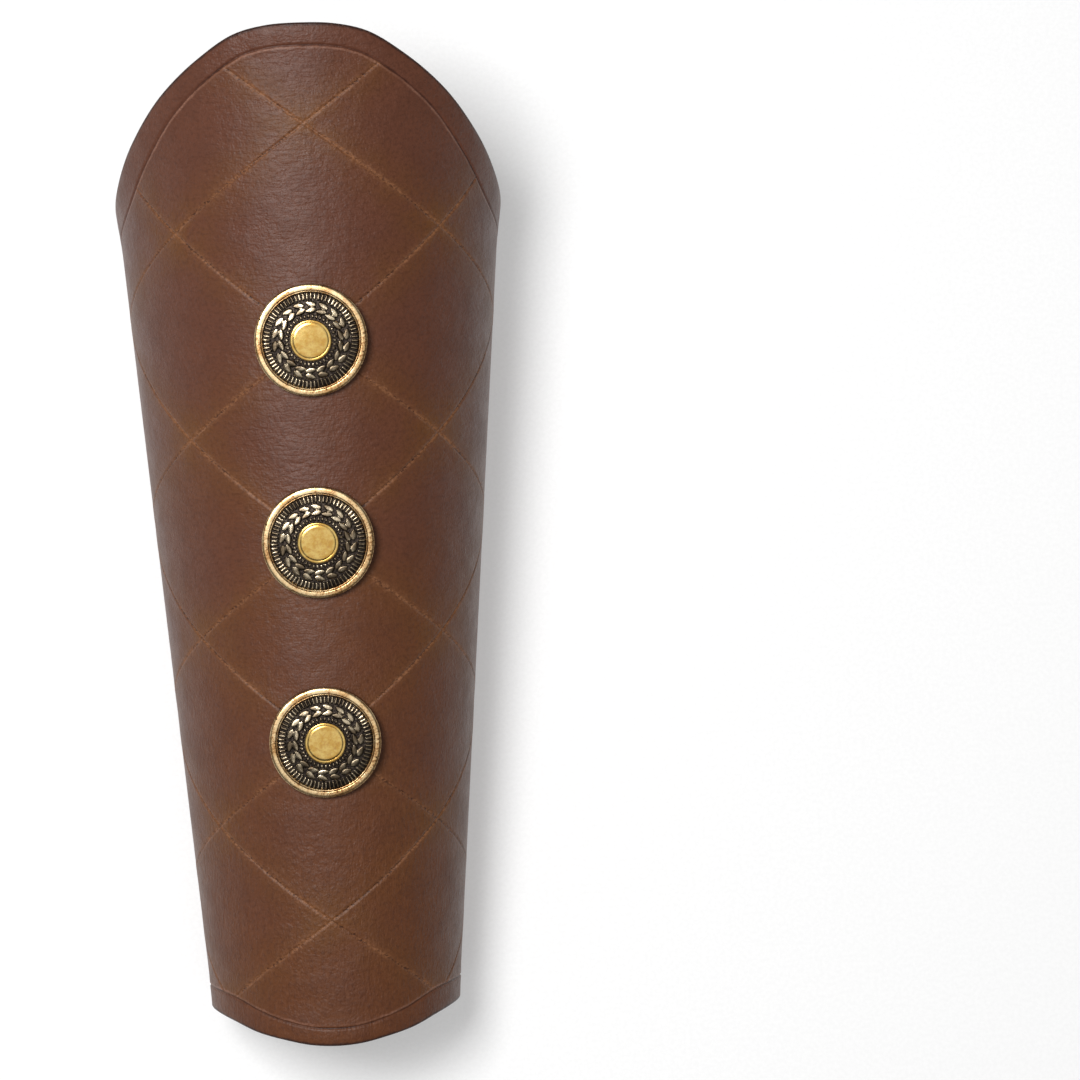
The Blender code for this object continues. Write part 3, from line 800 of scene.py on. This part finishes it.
def make_leather():
    pattern = Pattern()
    flat, faces = pattern_mesh(pattern)
    first, second, third = (flat[faces[:, corner]] for corner in range(3))
    turned_over = np.cross(second - first, third - first) < 0
    faces[turned_over] = faces[turned_over][:, ::-1]
    count = len(flat)
    to_edge = pattern.to_edge(flat)
    lift = cuff_lift(pattern, flat, to_edge)
    front = wrap(flat, lift)
    front[:, 2] = np.maximum(front[:, 2], 0)
    back = wrap(flat, -LEATHER + edge_fall(to_edge))

    rim = rim_edges(faces)
    walls = np.column_stack([rim[:, 0], rim[:, 0] + count, rim[:, 1] + count, rim[:, 1]])
    corners = np.vstack([front, back])
    all_faces = [list(face) for face in faces]
    all_faces += [list(face) for face in faces[:, ::-1] + count]
    all_faces += [list(face) for face in walls]

    rising, falling = pattern.to_diagonals(flat)
    distances = {
        "to_rising": rising,
        "to_falling": falling,
        "to_border": pattern.to_border(flat),
        "to_edge": to_edge,
        "to_band": np.where(inside(flat, pattern.field), 0, 1) * MILLIMETRE,
    }
    attributes = {key: np.tile(way / MILLIMETRE, 2) for key, way in distances.items()}
    materials = (grain_leather(), flesh_leather(), cut_edge())
    piece = add_piece("leather_skin", corners, all_faces, materials, attributes)
    mesh = piece.data
    slots = np.repeat([0, 1, 2], [len(faces), len(faces), len(walls)])
    mesh.polygons.foreach_set("material_index", slots.astype(np.int32))
    loop_corners = np.empty(len(mesh.loops), dtype=np.int32)
    mesh.loops.foreach_get("vertex_index", loop_corners)
    uv = mesh.uv_layers.new(name="flat")
    place = np.vstack([flat, flat]) - flat_points(0.0, 0.0)[0]
    uv.data.foreach_set("uv", place[loop_corners].ravel().astype(np.float32))
    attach(piece, "root")
    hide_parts("leather_cuff")


def concho_matrix(name):
    at = wrap(crossing_point(CONCHO_CROSSINGS[name])[None])[0]
    turn = Matrix.Rotation(math.radians(CONCHO_TURNS[name]), 4, "Z")
    return Matrix.Translation(at) @ Matrix.Rotation(FRONT_TILT, 4, "X") @ turn


def turned_grid(profile, steps):
    """Corners and faces of a profile of (radius, height) turned round Z, open at both ends."""
    turn = np.linspace(0, 2 * math.pi, steps, endpoint=False)
    radius, height = np.array(profile).T
    x = radius[:, None] * np.cos(turn)
    y = radius[:, None] * np.sin(turn)
    z = np.repeat(height[:, None], steps, axis=1)
    corners = np.stack([x, y, z], axis=-1).reshape(-1, 3)
    faces = []
    for row in range(len(profile) - 1):
        for step in range(steps):
            beyond = (step + 1) % steps
            a, b = row * steps + step, row * steps + beyond
            faces.append((a, a + steps, b + steps, b))
    return corners, faces


def oval(out, up, half_width, half_height, start, end, steps, power=1.0):
    """Profile points round part of an oval between two angles. A low power makes it squarer."""
    points = []
    for angle in np.radians(np.linspace(start, end, steps)):
        x, y = math.cos(angle), math.sin(angle)
        x, y = math.copysign(abs(x) ** power, x), math.copysign(abs(y) ** power, y)
        points.append((out + half_width * x, up + half_height * y))
    return points


def leather_below(x, y):
    """Height of the leather's face under a concho, in the concho's own frame."""
    radius = TAPER * (y - APEX_Y) / math.cos(FRONT_TILT)
    return np.sqrt(np.maximum(radius**2 - x**2, 0)) - radius


def make_bezel(name, material):
    """The dish's rounded rim with its thin inner lip, shaped to the leather underneath."""
    shoulder = CONCHO_HEIGHT - BEZEL_SHOULDER
    lip_height = CONCHO_HEIGHT - 0.0003
    hole = RIVET_SHANK_RADIUS + SEAT_GAP
    fall = CONCHO_RADIUS - BEZEL_CREST_RADIUS
    profile = [
        (hole, BEZEL_FLOOR),
        (DISH_RADIUS, BEZEL_FLOOR),
        (DISH_RADIUS, MEDALLION_FACE),
        (BEZEL_INNER_RADIUS, MEDALLION_FACE + 0.0003),
        (BEZEL_LIP_RADIUS - 0.00012, lip_height),
        (BEZEL_LIP_RADIUS - 0.00004, lip_height),
        (BEZEL_LIP_RADIUS, lip_height - 0.00003),
        *oval(BEZEL_CREST_RADIUS, shoulder, 0.00042, BEZEL_SHOULDER, 150, 92, 8),
        *oval(BEZEL_CREST_RADIUS, shoulder, fall, BEZEL_SHOULDER, 88, 0, 22, 0.6),
        (CONCHO_RADIUS, shoulder - 0.0004),
        (CONCHO_RADIUS - 0.00008, 0.0003),
        (CONCHO_RADIUS - 0.0001, 0.0),
        (CONCHO_RADIUS * 0.75, 0.0),
        (CONCHO_RADIUS * 0.5, 0.0),
        (hole, 0.0),
        (hole, BEZEL_FLOOR),
    ]
    corners, faces = turned_grid(profile, BEZEL_STEPS)
    turn = math.radians(CONCHO_TURNS[name])
    across = corners[:, 0] * math.cos(turn) - corners[:, 1] * math.sin(turn)
    along = corners[:, 0] * math.sin(turn) + corners[:, 1] * math.cos(turn)
    low = corners[:, 2] < SEAT_GAP
    corners[low, 2] = leather_below(across, along)[low] + BEZEL_SEAT
    rim = np.hypot(corners[:, 0], corners[:, 1])
    valley = np.exp(-(((rim - BEZEL_LIP_RADIUS) / CREVICE) ** 2)) * (corners[:, 2] > BEZEL_FLOOR)
    # Painted contact shadow, with patina, darkens the foot of the outer wall where the bezel meets the
    # leather; the valley above is patina only.
    foot = smoothstep(0.0012, 0.0003, corners[:, 2]) * (rim > BEZEL_LIP_RADIUS)
    attributes = {"patina_and_contact_shade": np.clip(0.5 * valley + 0.85 * foot, 0, 1)}
    return add_piece(f"bezel_{name}_rim", corners, faces, [material], attributes)


def leaf(x, y, centre_radius, tilt):
    """Height share of the nearest leaf of a ring, whose leaves tilt away from their stems."""
    pitch = 2 * math.pi / LEAVES
    turn = np.arctan2(y, x)
    nearest = np.round(turn / pitch) * pitch
    radius = np.hypot(x, y)
    along = radius * np.sin(turn - nearest)
    out = radius * np.cos(turn - nearest) - centre_radius
    u = along * math.cos(tilt) + out * math.sin(tilt)
    v = -along * math.sin(tilt) + out * math.cos(tilt)
    way = np.clip(2 * u / LEAF_LENGTH, -1, 1)
    half = LEAF_WIDTH / 2 * (1 - way**2) ** 0.6 * (1 - 0.15 * way)
    share = np.clip(1 - np.abs(v / np.maximum(half, 1e-6)) ** 3.5, 0, 1) ** 0.5
    lean = 1 - 0.4 * np.clip((radius - INNER_LEAF_RADIUS + 0.0008) / 0.0034, 0, 1)
    return share * lean * (np.abs(way) < 1)


def relief(x, y):
    """Height share of the cast relief: ribs round a laurel wreath, round a ring of beads."""
    radius, turn = np.hypot(x, y), np.arctan2(y, x)
    band = smoothstep(RIB_RADII[0], RIB_RADII[0] + 0.0003, radius)
    band *= smoothstep(RIB_RADII[1] + 0.0001, RIB_RADII[1] - 0.0003, radius)
    ribs = smoothstep(0.15, 0.8, 0.5 + 0.5 * np.cos(turn * RIBS)) * band
    outer = leaf(x, y, OUTER_LEAF_RADIUS, LEAF_SPLAY)
    inner = leaf(x, y, INNER_LEAF_RADIUS, -LEAF_SPLAY)
    ring = smoothstep(BEAD_RADII[0], BEAD_RADII[0] + 0.0002, radius)
    ring *= smoothstep(BEAD_RADII[1], BEAD_RADII[1] - 0.0002, radius)
    beads = smoothstep(0.25, 0.8, 0.5 + 0.5 * np.cos(turn * BEADS)) * ring * 0.55
    uneven = 0.82 + 0.18 * np.sin(turn * 7 + 1.3) * np.sin(turn * 11 + 0.4)
    return np.maximum.reduce([ribs * 0.85 * uneven, outer, inner, beads])


def medallion_dome(radius):
    """Rise of the relief's ground, which is level under the rivet's cap."""
    share = np.maximum(radius, RELIEF_START_RADIUS) / BEZEL_INNER_RADIUS
    return MEDALLION_DOME * (1 - share**2)


def make_medallion(name, material):
    """The cast relief as a fine polar grid, with an edge that drops into the bezel."""
    hole = RIVET_SHANK_RADIUS + SEAT_GAP
    underside = BEZEL_FLOOR + SEAT_GAP
    profile = [(hole, MEDALLION_FACE)]
    for radius in np.linspace(RELIEF_START_RADIUS, DISH_RADIUS, MEDALLION_RINGS):
        profile.append((radius, MEDALLION_FACE))
    profile += [(DISH_RADIUS, underside), (hole, underside), (hole, MEDALLION_FACE)]
    corners, faces = turned_grid(profile, RIBS * STEPS_PER_RIB)
    face = corners[:, 2] > (MEDALLION_FACE + underside) / 2
    share = relief(corners[:, 0], corners[:, 1]) * face
    radius = np.hypot(corners[:, 0], corners[:, 1])
    corners[:, 2] += share * RELIEF_HEIGHT + medallion_dome(radius) * face
    return add_piece(f"medallion_{name}_relief", corners, faces, [material], {"raised": share})


def make_rivet(name, material):
    """Flat cap with a bevelled edge, shank and back cap."""
    under_cap = MEDALLION_FACE + float(medallion_dome(0.0)) + SEAT_GAP / 6
    top = BEZEL_FLOOR + MEDALLION_THICKNESS + 2 * SEAT_GAP + RIVET_CAP_HEIGHT
    sag = RIVET_BACK_RADIUS**2 / (2 * WRIST_RADIUS)
    back = -LEATHER - sag
    foot = back - SEAT_GAP - RIVET_BACK_HEIGHT
    shoulder = top - 0.00005
    cap, end = RIVET_CAP_ROUNDING, RIVET_BACK_ROUNDING
    profile = [
        (NEAR_AXIS, top + RIVET_DOME),
        (RIVET_FACE_RADIUS * 0.5, top + RIVET_DOME * 0.75),
        (RIVET_FACE_RADIUS * 0.85, top + RIVET_DOME * 0.25),
        (RIVET_FACE_RADIUS - 0.00012, top),
        (RIVET_FACE_RADIUS - 0.00004, top - 0.00004),
        (RIVET_FACE_RADIUS + 0.00004, top - 0.00003),
        (RIVET_FACE_RADIUS + 0.00010, top - 0.00001),
        (RIVET_CAP_RADIUS - 0.0003, top - 0.00004),
        *oval(RIVET_CAP_RADIUS - cap, shoulder - cap, cap, cap, 65, 0, 6),
        (RIVET_CAP_RADIUS, under_cap),
        (RIVET_SHANK_RADIUS, under_cap),
        (RIVET_SHANK_RADIUS, back),
        (RIVET_BACK_RADIUS, back),
        *oval(RIVET_BACK_RADIUS - end, foot + end, end, end, 0, -90, 8),
        (RIVET_BACK_RADIUS * 0.4, foot),
        (NEAR_AXIS, foot),
    ]
    corners, faces = turned_grid(profile, RIVET_STEPS)
    radius = np.hypot(corners[:, 0], corners[:, 1])
    valley = np.exp(-(((radius - RIVET_FACE_RADIUS) / CREVICE) ** 2)) * (corners[:, 2] > under_cap)
    # Painted shade, with patina, darkens the cap's side down to where it meets the relief.
    foot_shade_and_patina = smoothstep(shoulder - 0.0003, under_cap, corners[:, 2]) * (corners[:, 2] > 0)
    patina_and_contact_shade = np.clip(0.55 * valley + 0.8 * foot_shade_and_patina, 0, 1)
    return add_piece(f"rivet_{name}_cap", corners, faces, [material], {"patina_and_contact_shade": patina_and_contact_shade})


def make_conchos():
    brass, dark, gilt = antique_brass(), blackened_relief(), gilt_cap()
    makers = (
        ("bezel", make_bezel, brass, "brass"),
        ("medallion", make_medallion, dark, "blackened_relief"),
        ("rivet", make_rivet, gilt, "brass"),
    )
    for name in CONCHO_CROSSINGS:
        for kind, make, material, slot in makers:
            piece = make(name, material)
            piece.matrix_world = concho_matrix(name)
            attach(piece, "root")
            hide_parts(f"{kind}_{name}")


# Stage


def make_floor():
    signs = ((-1, -1), (1, -1), (1, 1), (-1, 1))
    corners = [(x * FLOOR_HALF, y * FLOOR_HALF, FLOOR_HEIGHT) for x, y in signs]
    mesh = bpy.data.meshes.new("floor")
    mesh.from_pydata(corners, [], [(0, 1, 2, 3)])
    mesh.materials.append(pale_floor())
    floor = bpy.data.objects.new("floor", mesh)
    bpy.context.scene.collection.objects.link(floor)


def make_light(name, place, target, size, watts):
    data = bpy.data.lights.new(name, "AREA")
    data.shape = "RECTANGLE"
    data.size, data.size_y = size
    data.energy = watts
    made = bpy.data.objects.new(name, data)
    made.location = place
    made.rotation_euler = (Vector(target) - Vector(place)).to_track_quat("-Z", "Y").to_euler()
    bpy.context.scene.collection.objects.link(made)


def make_world():
    world = bpy.data.worlds.new("studio")
    world.use_nodes = True
    background = world.node_tree.nodes["Background"]
    background.inputs["Color"].default_value = (1.0, 1.0, 1.0, 1)
    background.inputs["Strength"].default_value = WORLD_STRENGTH
    bpy.context.scene.world = world


def make_studio():
    make_floor()
    make_world()
    for name, (place, target, size, watts) in LIGHTS.items():
        make_light(name, place, target, size, watts)


def make_camera():
    data = bpy.data.cameras.new("camera")
    data.lens = CAMERA_LENS
    data.sensor_width = 36
    camera = bpy.data.objects.new("camera", data)
    camera.location = CAMERA_PLACE
    camera.rotation_euler = [math.radians(angle) for angle in CAMERA_TURN]
    bpy.context.scene.collection.objects.link(camera)
    bpy.context.scene.camera = camera


bpy.context.scene.view_settings.view_transform = "Standard"
make_camera()
make_leather()
make_conchos()
make_studio()
